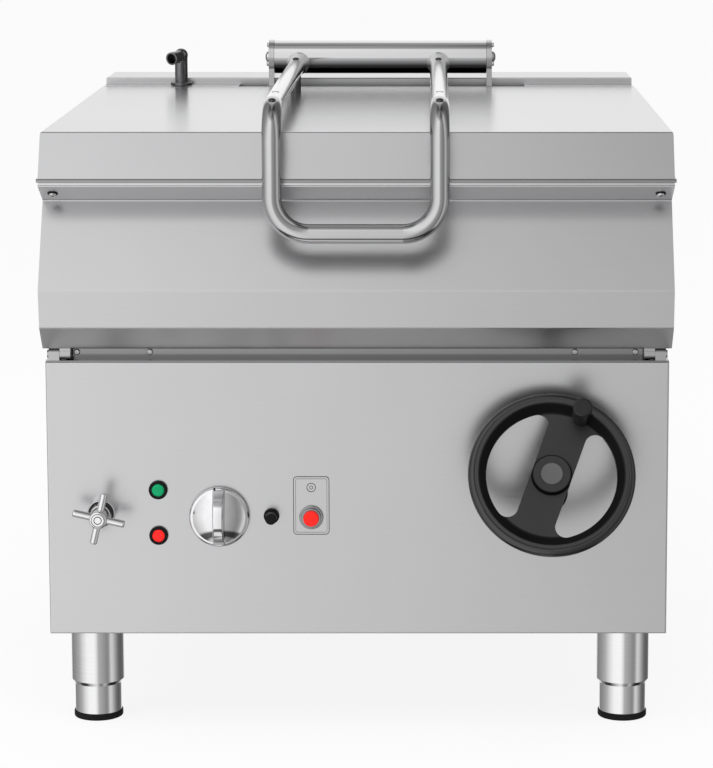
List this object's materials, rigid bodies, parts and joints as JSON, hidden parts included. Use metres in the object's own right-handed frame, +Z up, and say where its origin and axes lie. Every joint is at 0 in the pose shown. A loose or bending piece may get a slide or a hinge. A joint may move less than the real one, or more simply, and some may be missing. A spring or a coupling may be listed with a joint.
{
  "type": "tilting skillet",
  "caption": "Floor-standing tilting braising pan with hinged lid, handwheel screw-jack tilting drive, front controls, rear water spout and adjustable legs.",
  "frame": {"origin": "centre of the footprint on the floor", "axes": "+X to the right seen from the operator, +Y to the back, +Z up"},
  "size_m": [0.81, 1.0278, 0.86],
  "materials": {
    "stainless_panel": "fine brushed grain",
    "polished_steel": "bright finish",
    "satin_tube": "satin ground tube",
    "frame_steel": "mill finish",
    "screw_steel": "bright",
    "chrome_plate": "polished",
    "grey_casting": "painted casting",
    "brass_bush": "machined",
    "copper_pipe": "drawn tube",
    "black_rubber": "matt",
    "black_plastic": "satin moulding",
    "black_moulding": "satin moulding",
    "grey_plastic": "satin moulding",
    "red_plastic": "gloss",
    "green_lens": "clear lens",
    "red_lens": "clear lens"
  },
  "bodies": {
    "cabinet": {"front_panel": "stainless_panel", "side_panels": "stainless_panel", "rear_panel": "stainless_panel", "chassis": "frame_steel", "top_deck": "polished_steel", "rear_upstand": "stainless_panel", "leg_sleeves": "polished_steel", "deck_screws": "screw_steel", "tilt_brackets": "polished_steel", "rest_pads": "black_rubber", "spout_base": "chrome_plate", "lamp_holders": "black_plastic", "green_lens": "green_lens", "red_lens": "red_lens", "regulator": "black_plastic", "button_plate": "stainless_panel", "button_bezels": "black_plastic", "water_valve": "chrome_plate", "water_pipe": "copper_pipe", "switchgear_box": "frame_steel", "cable_gland": "black_plastic", "shaft_sleeve": "frame_steel", "gearbox": "grey_casting", "shaft_pedestals": "grey_casting"},
    "pan": {"pan_front": "stainless_panel", "pan_casing": "stainless_panel", "tub": "polished_steel", "heated_plate": "frame_steel", "heating_elements": "frame_steel", "under_tray": "frame_steel", "tilt_pins": "polished_steel", "jack_lug": "frame_steel", "pan_screws": "screw_steel", "hinge_plates": "polished_steel", "hinge_shaft": "frame_steel", "lid_spring": "screw_steel"},
    "lid": {"lid_shell": "stainless_panel", "lid_liner": "polished_steel", "lid_handle": "satin_tube", "handle_fixings": "screw_steel", "hinge_tube": "satin_tube", "hinge_bushes": "brass_bush"},
    "handwheel": {"handwheel": "black_moulding", "hub_cap": "grey_plastic", "grip_spindle": "screw_steel", "wheel_shaft": "frame_steel"},
    "wheel_grip": {"wheel_grip": "black_moulding"},
    "cross_shaft": {"cross_shaft": "frame_steel"},
    "jack_body": {"jack_body": "grey_casting"},
    "jack_stage": {"jack_stage": "screw_steel"},
    "jack_rod": {"jack_rod": "screw_steel"},
    "tap_handle": {"tap_handle": "chrome_plate"},
    "spout": {"spout": "chrome_plate"},
    "selector_knob": {"selector_knob": "chrome_plate"},
    "red_button": {"red_button": "red_plastic"},
    "reset_button": {"reset_button": "black_plastic"},
    "foot_front_left": {"foot_front_left": "satin_tube"},
    "foot_front_right": {"foot_front_right": "satin_tube"},
    "foot_rear_left": {"foot_rear_left": "satin_tube"},
    "foot_rear_right": {"foot_rear_right": "satin_tube"}
  },
  "joints": [
    {"name": "pan_tilt", "type": "hinge", "parent": "cabinet", "child": "pan", "pos_m": [0, -0.3755, 0.5056], "axis": [1, 0, 0], "range_deg": [0, 80]},
    {"name": "lid_open", "type": "hinge", "parent": "pan", "child": "lid", "pos_m": [0, 0.3645, 0.834], "axis": [-1, 0, 0], "range_deg": [0, 90]},
    {"name": "handwheel_turn", "type": "hinge", "parent": "cabinet", "child": "handwheel", "pos_m": [0.247, -0.4585, 0.3646], "axis": [0, 0.891, -0.454], "range_deg": [0, 4197]},
    {"name": "wheel_grip_turn", "type": "hinge", "parent": "handwheel", "child": "wheel_grip", "pos_m": [0.28514, -0.42452, 0.43129], "axis": [0, -0.891, 0.454], "continuous": true},
    {"name": "cross_shaft_turn", "type": "hinge", "parent": "cabinet", "child": "cross_shaft", "pos_m": [0, -0.2635, 0.26524], "axis": [1, 0, 0], "range_deg": [0, 4197]},
    {"name": "jack_swing", "type": "hinge", "parent": "cabinet", "child": "jack_body", "pos_m": [0, -0.2635, 0.26524], "axis": [1, 0, 0], "range_deg": [0, 40]},
    {"name": "jack_stage_slide", "type": "slide", "parent": "jack_body", "child": "jack_stage", "axis": [0, 0.5737, 0.8191], "range_m": [0, 0.11707]},
    {"name": "jack_rod_pivot", "type": "hinge", "parent": "pan", "child": "jack_rod", "pos_m": [0, -0.11134, 0.48249], "axis": [1, 0, 0], "range_deg": [-40, 0]},
    {"name": "tap_turn", "type": "hinge", "parent": "cabinet", "child": "tap_handle", "pos_m": [-0.3298, -0.4235, 0.301], "axis": [0, -1, 0], "range_deg": [0, 720]},
    {"name": "spout_swivel", "type": "hinge", "parent": "cabinet", "child": "spout", "pos_m": [-0.284, 0.3625, 0.8], "axis": [0, 0, 1], "range_deg": [-60, 90]},
    {"name": "selector_turn", "type": "hinge", "parent": "cabinet", "child": "selector_knob", "pos_m": [-0.1787, -0.4035, 0.2943], "axis": [0, 1, 0], "range_deg": [0, 300]},
    {"name": "red_button_press", "type": "slide", "parent": "cabinet", "child": "red_button", "axis": [0, 1, 0], "range_m": [0, 0.004], "stiffness_N_per_m": 400, "springref_m": -0.001},
    {"name": "reset_button_press", "type": "slide", "parent": "cabinet", "child": "reset_button", "axis": [0, 1, 0], "range_m": [0, 0.003], "stiffness_N_per_m": 400, "springref_m": -0.001},
    {"name": "foot_front_left_adjust", "type": "slide", "parent": "cabinet", "child": "foot_front_left", "axis": [0, 0, -1], "range_m": [0, 0.045]},
    {"name": "foot_front_right_adjust", "type": "slide", "parent": "cabinet", "child": "foot_front_right", "axis": [0, 0, -1], "range_m": [0, 0.045]},
    {"name": "foot_rear_left_adjust", "type": "slide", "parent": "cabinet", "child": "foot_rear_left", "axis": [0, 0, -1], "range_m": [0, 0.045]},
    {"name": "foot_rear_right_adjust", "type": "slide", "parent": "cabinet", "child": "foot_rear_right", "axis": [0, 0, -1], "range_m": [0, 0.045]}
  ],
  "couplings": [
    {"joint": "handwheel_turn", "follows": "pan_tilt", "ratio": 52.459},
    {"joint": "cross_shaft_turn", "follows": "pan_tilt", "ratio": 52.459},
    {"joint": "jack_swing", "follows": "pan_tilt", "ratio": 0.5},
    {"joint": "jack_rod_pivot", "follows": "pan_tilt", "ratio": -0.5},
    {"joint": "jack_stage_slide", "follows": "pan_tilt", "m_per_rad": 0.08349}
  ]
}
